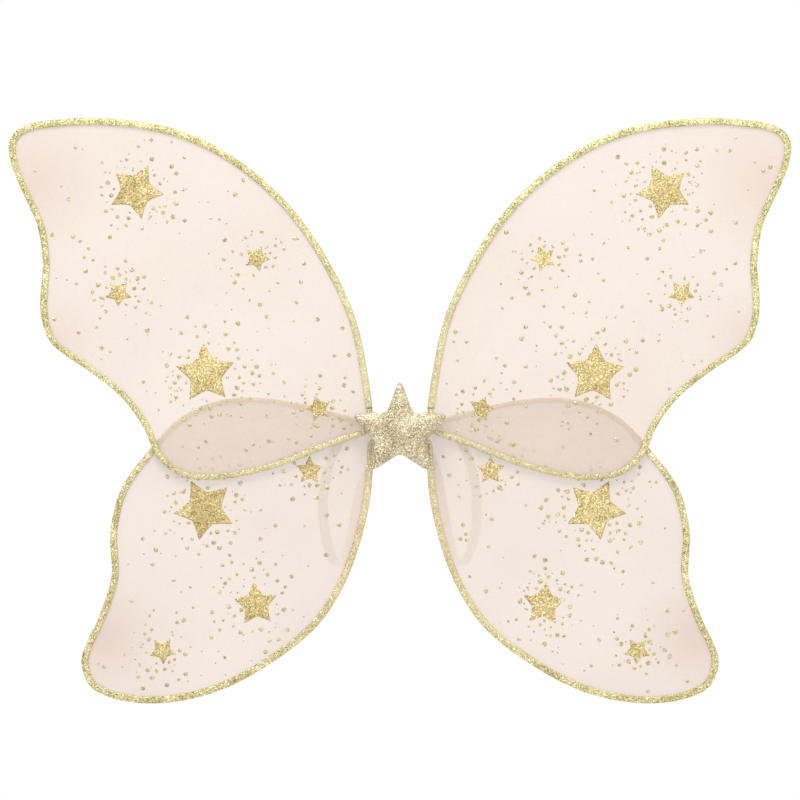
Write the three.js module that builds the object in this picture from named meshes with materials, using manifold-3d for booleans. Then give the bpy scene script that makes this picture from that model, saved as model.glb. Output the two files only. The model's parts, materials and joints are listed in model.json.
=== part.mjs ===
// Fairy wings: four wire-framed mesh wings on a small padded centre, with two elastic arm loops.
// Millimetres. +Z is up, -Y is the front (the star's side) and +Y is the side of the wearer's back.
// The origin is the middle of the back pad's flat face.
import * as THREE from "three";
import { mergeVertices } from "three/addons/utils/BufferGeometryUtils.js";
import Module from "manifold-3d";

const wasm = await Module();
wasm.setup();

// Layers, from the wearer's back (y = 0) to the front (negative y).
const LOWER_WING_Y = -7.2;
const UPPER_WING_Y = -10.4;
const HINGE_Y = -8.8; // both wings of a side bend about one upright line, between their planes
const HINGE_X = 15;
const PLAY = 0.3; // gap between neighbouring pieces
const FLEX_GAP = 0.5; // each wire stops this far from the line where it bends

// Wing edge: steel wire inside a folded glitter binding that also grips the mesh.
const WIRE_RADIUS = 0.6;
const BINDING_HALF_THICKNESS = 1.4;
const BINDING_OUTER = 1.9; // from the wire's middle to the binding's outer edge
const BINDING_INNER = 2.4; // from the wire's middle to the binding's inner edges
const BINDING_SHOULDER = 0.7; // how far in from its outer edge the binding starts to round off
const SLOT_HALF_WIDTH = 0.9;
const SLOT_END = 0.95;
const MESH_INSET = 0.95; // the mesh stops this far inside the wire's middle
const MESH_THICKNESS = 0.4;
const STEPS_PER_SPAN = 2; // stations between two outline points
const WIRE_CURVE_SEGMENTS = 3;

// Star pad.
const STAR_TIP_RADIUS = 32.8; // before rounding
const STAR_NOTCH_RADII = [15.2, 18.6, 16, 18.6, 15.2]; // from the top tip's right side, clockwise
const STAR_ROUNDING = 0.14; // share of each edge that the tips and notches round off
const STAR_HALF_DEPTH = 7.3;
const STAR_MIDDLE_Y = -19.7;
const STAR_SKIN = 1;
const STAR_CROWN = 0.8; // under 1, the front and back are flatter than a ball's
const FILLING_GAP = 0.4; // between the skins and the filling
const STAR_SIDES = 50;
const STAR_RINGS = 10;

// Centre: wire stem, tape wrap and back pad.
const STEM_RADIUS = 2.4;
const STEM_CAP = 1.2; // how far the stem runs on past the outermost wires
const STEM_SIDES = 16;
const WIRE_SIDES = 8;
const WRAP_HALF_WIDTH = 9.2;
const WRAP_FRONT_Y = -12;
const WRAP_BACK_Y = -5.6;
const WRAP_CORNER = 2.2;
const WRAP_TOP_CAP = 2.4; // how far the wrap runs on past the outermost wires
const WRAP_BOTTOM_CAP = 3;
const PAD_HALF_WIDTH = 10.4;
const PAD_TOP = 11.5;
const PAD_BOTTOM = -14;
const PAD_DEPTH = 5.2;
const PAD_SKIN = 0.8;
const PAD_CORNER = 4;

// Arm loops: flat elastic, sewn on edge to the back pad's sides.
const STRAP_WIDTH = 8;
const STRAP_THICKNESS = 1.1;
const STRAP_ANGLE = 55; // degrees from the wings' plane towards the wearer
const STRAP_X = -11.7;
const STRAP_Y = -2.6;
const STRAP_STEPS = 44;
const TWIST_START = 0.02; // shares of the strap's length where its quarter twist starts and ends
const TWIST_END = 0.2;

// Left wing outlines as seen from the front, [x, z], from the centre outwards and anticlockwise.
const UPPER_OUTLINE = [
  [-19.6, 9], [-21, 20], [-24.4, 42], [-31, 72], [-45, 104], [-72, 145], [-108, 177.5],
  [-148, 197.5], [-192, 205], [-232, 204], [-252, 199], [-258.2, 189], [-253, 167], [-239.5, 137],
  [-235.5, 109], [-237.2, 82], [-231, 59.5], [-208, 42], [-184, 23], [-168, 1], [-160, -17],
  [-145, -29], [-118, -31], [-82, -23], [-46, -9], [-20.5, -0.3],
];
const LOWER_OUTLINE = [
  [-25, 4.6], [-46, 11], [-72, 17.3], [-98, 20.2], [-124, 17.2], [-148, 5], [-166, -15],
  [-184, -40], [-191, -70], [-190, -97], [-200, -128], [-210, -152], [-204, -170], [-178, -179.2],
  [-148, -178.6], [-117, -170], [-84, -151.5], [-56, -128.5], [-38, -100], [-26.5, -67],
  [-21, -38], [-19.6, -9],
];
// Heights where each wing's two wire ends reach the bend line, in the outline's order.
const UPPER_TAILS = [9, 2.2];
const LOWER_TAILS = [-2.6, -8];

// An arm loop's middle line in its own upright plane, [outwards, z], from its top end to its bottom end.
const STRAP_ROUTE = [
  [0.5, 7], [11, 8.5], [26, 7], [45, -3], [62, -22], [71, -47], [68, -73], [57, -90],
  [46, -90], [37, -74], [30, -52], [23, -33], [13, -17], [0.5, -10],
];

function standard(color, roughness, metalness) {
  return new THREE.MeshStandardMaterial({ color, roughness, metalness });
}

const glitterGold = () => standard(0xe2d98f, 0.45, 0.35);
const glitterChampagne = () => standard(0xcdbe8c, 0.45, 0.35);
const sheerCream = () => standard(0xf5ece2, 0.8, 0);
const elasticWhite = () => standard(0xf4f2ee, 0.85, 0);
const steel = () => standard(0xa8a9ab, 0.35, 1);
const feltCream = () => standard(0xeadfc9, 0.95, 0);
const whiteFilling = () => standard(0xf7f7f4, 1, 0);
const clothTape = () => standard(0xe6dcc6, 0.9, 0);

// A closed geometry as a manifold solid, and back.
function solidOf(geometry) {
  const bare = geometry.clone();
  bare.deleteAttribute("normal");
  bare.deleteAttribute("uv");
  const merged = mergeVertices(bare, 1e-4);
  return new wasm.Manifold(
    new wasm.Mesh({
      numProp: 3,
      vertProperties: merged.attributes.position.array,
      triVerts: new Uint32Array(merged.index.array),
    }),
  );
}

function geometryOf(solid) {
  const mesh = solid.getMesh();
  const geometry = new THREE.BufferGeometry();
  geometry.setAttribute("position", new THREE.BufferAttribute(mesh.vertProperties, mesh.numProp));
  geometry.setIndex(new THREE.BufferAttribute(mesh.triVerts, 1));
  geometry.computeVertexNormals();
  return geometry;
}

function addPiece(group, name, geometry, material) {
  const mesh = new THREE.Mesh(geometry, material);
  mesh.name = name;
  group.add(mesh);
  return mesh;
}

// A wing's edge line. Its stations follow the outline's points, which lie closer together in tight bends.
class WingEdge extends THREE.Curve {
  constructor(outline, planeY) {
    super();
    const flat = outline.map(([x, z]) => new THREE.Vector3(x, planeY, z));
    this.line = new THREE.CatmullRomCurve3(flat, false, "centripetal");
    this.stations = (flat.length - 1) * STEPS_PER_SPAN;
  }

  getUtoTmapping(u) {
    return u;
  }
}

// The stretch of the edge that the binding covers. It starts and ends one station in from the root.
class BoundEdge extends WingEdge {
  get steps() {
    return this.stations - 2;
  }

  getPoint(t, target = new THREE.Vector3()) {
    return target.copy(this.line.getPoint((1 + t * this.steps) / this.stations));
  }
}

// The whole edge, with a short straight tail at each end that runs on to the bend line.
class WireLine extends WingEdge {
  constructor(outline, planeY, tails) {
    super(outline, planeY);
    this.ends = tails.map((z) => new THREE.Vector3(-HINGE_X - FLEX_GAP, HINGE_Y, z));
  }

  get steps() {
    return this.stations + 2;
  }

  getPoint(t, target = new THREE.Vector3()) {
    const station = t * this.steps - 1;
    if (station < 0) return target.copy(this.ends[0]).lerp(this.line.getPoint(0), station + 1);
    const beyond = station - this.stations;
    if (beyond > 0) return target.copy(this.line.getPoint(1)).lerp(this.ends[1], beyond);
    return target.copy(this.line.getPoint(station / this.stations));
  }
}

function sweep(shape, curve, steps, curveSegments = 4) {
  return new THREE.ExtrudeGeometry(shape, { steps, curveSegments, extrudePath: curve });
}

// Folded fabric strip, open towards the wing's inside. Shape x runs through the wing, shape y outwards.
function bindingSection() {
  const t = BINDING_HALF_THICKNESS;
  const shoulder = BINDING_OUTER - BINDING_SHOULDER;
  const shape = new THREE.Shape();
  shape.moveTo(-SLOT_HALF_WIDTH, -BINDING_INNER);
  shape.lineTo(-t, -BINDING_INNER);
  shape.lineTo(-t, shoulder);
  shape.lineTo(-t * 0.5, BINDING_OUTER);
  shape.lineTo(t * 0.5, BINDING_OUTER);
  shape.lineTo(t, shoulder);
  shape.lineTo(t, -BINDING_INNER);
  shape.lineTo(SLOT_HALF_WIDTH, -BINDING_INNER);
  shape.lineTo(SLOT_HALF_WIDTH, SLOT_END);
  shape.lineTo(-SLOT_HALF_WIDTH, SLOT_END);
  shape.closePath();
  return shape;
}

function circleSection(radius) {
  return new THREE.Shape().absarc(0, 0, radius, 0, Math.PI * 2);
}

// Flat mesh panel: the edge line moved inwards, closed by a straight side at the root.
function panelGeometry(edge, planeY) {
  const { binormals } = edge.computeFrenetFrames(edge.steps);
  const corners = edge.getSpacedPoints(edge.steps).map((point, i) => {
    const inner = point.addScaledVector(binormals[i], -MESH_INSET);
    return new THREE.Vector2(inner.x, inner.z);
  });
  const sheet = { depth: MESH_THICKNESS, bevelEnabled: false };
  const geometry = new THREE.ExtrudeGeometry(new THREE.Shape(corners), sheet);
  geometry.rotateX(Math.PI / 2);
  geometry.translate(0, planeY + MESH_THICKNESS / 2, 0);
  return geometry;
}

function addWing(group, name, outline, planeY, tails) {
  const edge = new BoundEdge(outline, planeY);
  const wire = new WireLine(outline, planeY, tails);
  const wireGeometry = sweep(circleSection(WIRE_RADIUS), wire, wire.steps, WIRE_CURVE_SEGMENTS);
  const bindingGeometry = sweep(bindingSection(), edge, edge.steps);
  addPiece(group, name + "_wire_frame", wireGeometry, steel());
  addPiece(group, name + "_edge_binding", bindingGeometry, glitterGold());
  addPiece(group, name + "_mesh_panel", panelGeometry(edge, planeY), sheerCream());
}

// Five-pointed outline with its tips and notches rounded, one tip up.
function starOutline() {
  const corners = [];
  for (let i = 0; i < 10; i++) {
    const radius = i % 2 ? STAR_NOTCH_RADII[(i - 1) / 2] : STAR_TIP_RADIUS;
    const angle = Math.PI / 2 - (i * Math.PI) / 5;
    corners.push(new THREE.Vector2(radius * Math.cos(angle), radius * Math.sin(angle)));
  }
  const shape = new THREE.Shape();
  corners.forEach((corner, i) => {
    const before = corner.clone().lerp(corners[(i + 9) % 10], STAR_ROUNDING);
    const after = corner.clone().lerp(corners[(i + 1) % 10], STAR_ROUNDING);
    if (i) shape.lineTo(before.x, before.y);
    else shape.moveTo(before.x, before.y);
    shape.quadraticCurveTo(corner.x, corner.y, after.x, after.y);
  });
  shape.closePath();
  return shape;
}

// Star-shaped pillow: a sphere drawn out to the outline, with a fairly flat front and back.
// Each larger margin makes it smaller all round.
function starPillow(margin) {
  const outline = starOutline().getSpacedPoints(STAR_SIDES);
  const geometry = new THREE.SphereGeometry(1, STAR_SIDES, STAR_RINGS);
  const position = geometry.attributes.position;
  const point = new THREE.Vector3();
  for (let i = 0; i < position.count; i++) {
    point.fromBufferAttribute(position, i);
    const reach = Math.hypot(point.x, point.z);
    const turn = Math.atan2(point.z, point.x) / (Math.PI * 2);
    const side = (Math.round(turn * STAR_SIDES) + STAR_SIDES) % STAR_SIDES;
    const rim = outline[side];
    const shrink = (reach * (rim.length() - margin)) / rim.length();
    const depth = (STAR_HALF_DEPTH - margin) * Math.sign(point.y) * Math.abs(point.y) ** STAR_CROWN;
    position.setXYZ(i, -rim.x * shrink, STAR_MIDDLE_Y + depth, rim.y * shrink);
  }
  return solidOf(geometry);
}

function boxSolid(x0, x1, y0, y1, z0, z1) {
  const geometry = new THREE.BoxGeometry(x1 - x0, y1 - y0, z1 - z0);
  geometry.translate((x0 + x1) / 2, (y0 + y1) / 2, (z0 + z1) / 2);
  return solidOf(geometry);
}

// Front and back skins of glitter fabric, seamed round the rim, with the filling between them.
function addStar(group) {
  const shell = starPillow(0).subtract(starPillow(STAR_SKIN));
  const room = 2 * STAR_TIP_RADIUS;
  const seam = PLAY / 2;
  const inFront = boxSolid(-room, room, -room, STAR_MIDDLE_Y - seam, -room, room);
  const behind = boxSolid(-room, room, STAR_MIDDLE_Y + seam, room, -room, room);
  addPiece(group, "star_front_skin", geometryOf(shell.intersect(inFront)), glitterChampagne());
  addPiece(group, "star_back_skin", geometryOf(shell.intersect(behind)), glitterChampagne());
  const filling = starPillow(STAR_SKIN + FILLING_GAP);
  addPiece(group, "star_filling", geometryOf(filling), whiteFilling());
}

// Upright stem of twisted wire ends, with a straight end pointing at each wing's wire tails.
function wireBundle(extra) {
  const top = UPPER_TAILS[0] + STEM_CAP;
  const bottom = LOWER_TAILS[1] - STEM_CAP;
  const stemRadius = STEM_RADIUS + extra;
  const stem = new THREE.CylinderGeometry(stemRadius, stemRadius, top - bottom + 2 * extra, STEM_SIDES);
  stem.rotateX(Math.PI / 2);
  stem.translate(0, HINGE_Y, (top + bottom) / 2);
  let bundle = solidOf(stem);
  for (const z of [...UPPER_TAILS, ...LOWER_TAILS]) {
    const radius = WIRE_RADIUS + extra;
    const wire = new THREE.CylinderGeometry(radius, radius, 2 * (HINGE_X - FLEX_GAP), WIRE_SIDES);
    wire.rotateZ(Math.PI / 2);
    wire.translate(0, HINGE_Y, z);
    bundle = bundle.add(solidOf(wire));
  }
  return bundle;
}

// A block with round corners: a plan from its half width, its low and high y and its corner radius,
// drawn out upwards from z = 0.
function roundedBlock(halfWidth, yLow, yHigh, radius, height) {
  const plan = new THREE.Shape();
  plan.moveTo(-halfWidth + radius, yLow);
  plan.lineTo(halfWidth - radius, yLow);
  plan.absarc(halfWidth - radius, yLow + radius, radius, -Math.PI / 2, 0);
  plan.lineTo(halfWidth, yHigh - radius);
  plan.absarc(halfWidth - radius, yHigh - radius, radius, 0, Math.PI / 2);
  plan.lineTo(-halfWidth + radius, yHigh);
  plan.absarc(-halfWidth + radius, yHigh - radius, radius, Math.PI / 2, Math.PI);
  plan.lineTo(-halfWidth, yLow + radius);
  plan.absarc(-halfWidth + radius, yLow + radius, radius, Math.PI, Math.PI * 1.5);
  return new THREE.ExtrudeGeometry(plan, { depth: height, bevelEnabled: false, curveSegments: 4 });
}

// A flat pad standing upright, with its corners rounded as seen from behind.
function padBlock(margin, yFront, yBack) {
  const half = PAD_HALF_WIDTH - margin;
  const [low, high] = [PAD_BOTTOM + margin, PAD_TOP - margin];
  const block = roundedBlock(half, low, high, PAD_CORNER - margin, yBack - yFront);
  block.rotateX(Math.PI / 2);
  block.translate(0, yBack, 0);
  return solidOf(block);
}

function wrapBlock() {
  const low = LOWER_TAILS[1] - WRAP_BOTTOM_CAP;
  const high = UPPER_TAILS[0] + WRAP_TOP_CAP;
  const block = roundedBlock(WRAP_HALF_WIDTH, WRAP_FRONT_Y, WRAP_BACK_Y, WRAP_CORNER, high - low);
  block.translate(0, 0, low);
  return solidOf(block);
}

function addCentre(group) {
  const wrap = wrapBlock().subtract(wireBundle(PLAY));
  addPiece(group, "wire_bundle", geometryOf(wireBundle(0)), steel());
  addPiece(group, "centre_wrap", geometryOf(wrap), clothTape());
  const cover = padBlock(0, -PAD_DEPTH, 0).subtract(padBlock(PAD_SKIN, -PAD_DEPTH - 1, -PAD_SKIN));
  const foam = padBlock(PAD_SKIN + PLAY, -PAD_DEPTH + PLAY, -PAD_SKIN - PLAY);
  addPiece(group, "back_pad_cover", geometryOf(cover), feltCream());
  addPiece(group, "back_pad_foam", geometryOf(foam), whiteFilling());
}

// Flat elastic bent along its route. Its width is upright at the sewn ends, and lies across the
// loop's plane further out, so it takes a quarter twist on the way out and another on the way back.
function strapGeometry() {
  const route = new THREE.CatmullRomCurve3(
    STRAP_ROUTE.map(([out, z]) => new THREE.Vector3(out, 0, z)),
    false,
    "centripetal",
  );
  const geometry = new THREE.BoxGeometry(1, STRAP_WIDTH, STRAP_THICKNESS, STRAP_STEPS, 1, 1);
  const position = geometry.attributes.position;
  const point = new THREE.Vector3();
  const across = new THREE.Vector3(0, 1, 0);
  for (let i = 0; i < position.count; i++) {
    point.fromBufferAttribute(position, i);
    const u = point.x + 0.5;
    const middle = route.getPointAt(u);
    const along = route.getTangentAt(u);
    const inPlane = new THREE.Vector3().crossVectors(along, across);
    const twist = (Math.PI / 2) * THREE.MathUtils.smoothstep(Math.min(u, 1 - u), TWIST_START, TWIST_END);
    const width = inPlane.clone().multiplyScalar(Math.cos(twist)).addScaledVector(across, Math.sin(twist));
    const face = new THREE.Vector3().crossVectors(along, width);
    middle.addScaledVector(width, point.y).addScaledVector(face, point.z);
    position.setXYZ(i, middle.x, middle.y, middle.z);
  }
  return geometry;
}

function addStrap(group, name) {
  const strap = addPiece(group, name, strapGeometry(), elasticWhite());
  strap.position.set(STRAP_X, STRAP_Y, 0);
  strap.rotation.z = Math.PI - THREE.MathUtils.degToRad(STRAP_ANGLE);
}

// One side of the object. The right side is the left one mirrored.
function addSide(parent, side) {
  const group = new THREE.Group();
  group.scale.x = side === "left" ? 1 : -1;
  addWing(group, side + "_upper", UPPER_OUTLINE, UPPER_WING_Y, UPPER_TAILS);
  addWing(group, side + "_lower", LOWER_OUTLINE, LOWER_WING_Y, LOWER_TAILS);
  addStrap(group, side + "_arm_loop");
  parent.add(group);
}

const wings = new THREE.Group();
addStar(wings);
addCentre(wings);
addSide(wings, "left");
addSide(wings, "right");

export default wings;
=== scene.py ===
"""Fairy wings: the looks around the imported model. Metres, +Z up, the star on the -Y side."""
import json
import math
import random

import bmesh
import bpy
from mathutils import Matrix, Vector, noise
from mathutils.geometry import delaunay_2d_cdt, intersect_point_line


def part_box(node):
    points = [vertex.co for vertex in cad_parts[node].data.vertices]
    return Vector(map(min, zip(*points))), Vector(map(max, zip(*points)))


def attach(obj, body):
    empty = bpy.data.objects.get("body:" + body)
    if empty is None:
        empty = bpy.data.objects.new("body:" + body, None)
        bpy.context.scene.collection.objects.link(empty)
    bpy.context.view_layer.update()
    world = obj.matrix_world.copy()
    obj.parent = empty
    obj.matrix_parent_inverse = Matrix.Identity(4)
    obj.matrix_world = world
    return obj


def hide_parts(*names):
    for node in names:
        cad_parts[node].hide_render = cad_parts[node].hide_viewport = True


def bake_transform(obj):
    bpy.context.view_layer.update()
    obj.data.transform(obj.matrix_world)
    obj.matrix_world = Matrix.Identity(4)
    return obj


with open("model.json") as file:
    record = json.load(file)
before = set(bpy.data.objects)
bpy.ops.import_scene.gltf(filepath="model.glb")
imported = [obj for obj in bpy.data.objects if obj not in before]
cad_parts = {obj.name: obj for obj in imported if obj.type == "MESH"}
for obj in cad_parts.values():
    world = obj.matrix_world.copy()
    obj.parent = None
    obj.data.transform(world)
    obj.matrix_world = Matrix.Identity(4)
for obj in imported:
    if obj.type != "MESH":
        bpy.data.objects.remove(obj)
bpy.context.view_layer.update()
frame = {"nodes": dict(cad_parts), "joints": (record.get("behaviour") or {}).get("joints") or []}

MM = 0.001
SIDES = {"left": -1, "right": 1}
HINGE_X = abs(frame["joints"][0]["pos_m"][0])
HINGE_Y = frame["joints"][0]["pos_m"][1]

# Where each wing's edge turns in to the middle: distance from the middle and height in mm, upper end first.
ROOT_BENDS = {"upper": ((19.6, 9), (20.5, -0.3)), "lower": ((25, 4.6), (19.6, -9))}

# Corners of each wing's mesh beside the middle: distance from it and height in mm, upper end first.
MESH_CORNERS = {"upper": [(18.9, 9.5), (19, -1.2)], "lower": [(25, 4.6), (19, -1.5), (19, -9)]}

# How far the wire runs outside the outline of its mesh, in metres, and how finely that outline is divided.
WIRE_OFFSET = 0.00095
EDGE_POINTS = 460

# Soft pink patches of each left wing's mesh: middle x, z and radius in mm, and strength.
STAINS = {
    "upper": [(-242, 165, 56, 0.75), (-226, 62, 36, 0.6), (-45, 5, 75, 0.22)],
    "lower": [(-196, -138, 46, 0.95), (-35, -35, 65, 0.35), (-150, -20, 34, 0.25)],
}

# Printed stars of each left wing: middle x, z and radius in mm, and degrees clockwise from upright.
STARS = {
    "upper": [(-175.5, 159, 19.8, 25), (-95.3, 114.2, 9.3, 22), (-187.2, 91, 9.7, 36),
              (-129.3, 37.4, 21.3, -4), (-54.2, 14.3, 9.3, -15)],
    "lower": [(-60.3, -26.9, 10, 0), (-130.1, -52.7, 21.9, 46), (-96, -116, 15.6, -5), (-158, -147, 9.6, 33)],
}

# Printed dots and smaller specks: how many each wing has, their smallest and largest radius, and the least
# gap round each, in mm.
DOTS = {"upper": 225, "lower": 170}
SPECKS = {"upper": 90, "lower": 70}
DOT_RADII, DOT_GAP = (0.75, 1.8), 1.3
SPECK_RADII, SPECK_GAP = (0.4, 0.68), 1.4

# Half of each print's thickness in mm. The middle of the sheet lies in the middle of the print.
STAR_HALF, DOT_HALF, SPECK_HALF = 0.22, 0.2, 0.15

# Glitter: the colours of its darkest, usual and brightest flakes, and their size in mm. The brightest colour
# is a painted glint.
GLITTER = {
    "edge_gold_glitter": ((0.24, 0.20, 0.07), (0.55, 0.485, 0.215), (0.98, 0.94, 0.60), 0.62),
    "lower_edge_gold_glitter": ((0.26, 0.20, 0.07), (0.55, 0.47, 0.215), (0.98, 0.92, 0.60), 0.62),
    "print_gold_glitter": ((0.28, 0.20, 0.06), (0.56, 0.43, 0.18), (0.95, 0.82, 0.48), 0.6),
    "print_dot_glitter": ((0.32, 0.27, 0.11), (0.52, 0.46, 0.22), (0.80, 0.73, 0.42), 0.6),
    "print_speck_glitter": ((0.30, 0.24, 0.17), (0.42, 0.34, 0.25), (0.58, 0.49, 0.36), 0.5),
    "champagne_glitter": ((0.17, 0.12, 0.05), (0.505, 0.415, 0.245), (0.98, 0.91, 0.74), 0.5),
}
# Colours that each wing's binding fades to near the middle. On the upper wings this is the binding's paler
# tone by the star. On the lower wings it is partly that tone and partly painted light that lifts the shade
# the upper mesh casts on their binding.
UPPER_EDGE_PALE = (0.70, 0.61, 0.39)
LOWER_EDGE_PALE_AND_PAINTED_LIGHT = (0.71, 0.57, 0.37)

# Colours of the other materials. The lower wings' mesh is the same cloth, painted a little darker as shade
# because it lies further back.
MESH_CREAM = (0.68, 0.566, 0.476)
MESH_PINK = (0.605, 0.44, 0.355)
MESH_PAINTED_SHADE = {"upper": 1.0, "lower": 0.96}
FELT_CREAM = (0.72, 0.66, 0.54)
TAPE_CREAM = (0.74, 0.70, 0.60)
ELASTIC_WHITE = (0.90, 0.89, 0.87)
EDGE_THREAD = (0.82, 0.70, 0.36)
PAD_THREAD = (0.60, 0.50, 0.36)
STEEL_DARK = (0.38, 0.38, 0.39)
STEEL_LIGHT = (0.56, 0.56, 0.57)
FLOOR_PALE = (0.8, 0.8, 0.79)
FLOOR_GREY = (0.78, 0.78, 0.78)

# Studio area lights: place and side in metres, and power in watts. All are aimed at one point.
LIGHTS = {
    "key": ((-0.25, -1.1, 1.8), 0.8, 24),
    "fill": ((1.4, -1.4, 0.2), 1.2, 3),
    "back": ((0.4, 1.6, 0.9), 1.0, 10),
}
LIGHT_AIM = (0, 0, 0.02)
FLOOR_HEIGHT = -0.6
FLOOR_RADIUS = 2.6

# Stripes per metre of a wave texture whose scale is 1.
WAVE_STRIPES = 3.1831

# The padded star: how far its tips and notches reach from its middle in mm, notches clockwise from the top.
STAR_TIP = 36.6
STAR_NOTCHES = (15.2, 19.2, 16, 19.2, 15.2)
# The share of a side that the rounding of a tip and of a notch takes up.
STAR_ROUNDING = (0.3, 0.15)

# Wire sleeves: rings along each, then half width and half depth in mm at its outer and its inner end.
WHOLE_SLEEVE = (46, (2.05, 1.25), (1.5, 1.2))
OUTER_SLEEVE = (34, (2.05, 1.5), (1.5, 1.3))
INNER_SLEEVE = (20, (1.45, 1.25), (1.25, 1.2))

# Route of each arm loop: distance outwards from its hinge and height, in mm.
LOOP_ROUTE = [
    (0.5, 7), (11, 8.5), (26, 7), (45, -3), (62, -22), (71, -47), (68, -73), (57, -90), (46, -90), (37, -74),
    (30, -52), (23, -33), (13, -17), (0.5, -10),
]
# How far inside its hinge each loop's sewn ends reach, and how it is woven, in mm.
LOOP_SEWN_IN = (3.4, 1.6)
LOOP_WIDTH = 8
LOOP_HALF_THICKNESS = 0.5
LOOP_RIBS = 8
RIB_HEIGHT = 0.10
# How far each loop stands back from the line through both wings, in degrees.
LOOP_ANGLE = 55


# ---------------------------------------------------------------- camera, light and floor

def make_camera():
    """Straight on, from far away, framed on the wings as a product picture frames them."""
    distance, frame_width, middle_height, sensor = 2.4, 0.532, 0.020, 36
    wing_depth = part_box("left_upper_mesh_panel")[0].y
    data = bpy.data.cameras.new("camera")
    data.sensor_width = sensor
    data.lens = sensor * (distance + wing_depth) / frame_width
    camera = bpy.data.objects.new("camera", data)
    camera.location = (0, -distance, middle_height)
    camera.rotation_euler = (math.radians(90), 0, 0)
    bpy.context.scene.collection.objects.link(camera)
    bpy.context.scene.camera = camera


def area_light(name, place, size, power):
    data = bpy.data.lights.new(name, "AREA")
    data.size = size
    data.energy = power
    light = bpy.data.objects.new(name, data)
    light.location = place
    light.rotation_euler = (Vector(LIGHT_AIM) - Vector(place)).to_track_quat("-Z", "Y").to_euler()
    bpy.context.scene.collection.objects.link(light)


def make_studio():
    """White surroundings, three soft lights and a pale round floor."""
    world = bpy.data.worlds.new("studio")
    world.use_nodes = True
    background = world.node_tree.nodes["Background"]
    background.inputs["Color"].default_value = (1, 1, 1, 1)
    background.inputs["Strength"].default_value = 1.0
    bpy.context.scene.world = world
    bpy.context.scene.view_settings.view_transform = "Standard"
    for name, (place, size, power) in LIGHTS.items():
        area_light(name, place, size, power)
    bpy.ops.mesh.primitive_circle_add(vertices=96, radius=FLOOR_RADIUS, fill_type="NGON",
                                      location=(0, 0, FLOOR_HEIGHT))
    floor = bpy.context.object
    floor.name = "floor"
    floor.data.materials.append(plain_material("pale_floor", FLOOR_PALE))


# ---------------------------------------------------------------- materials

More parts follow.
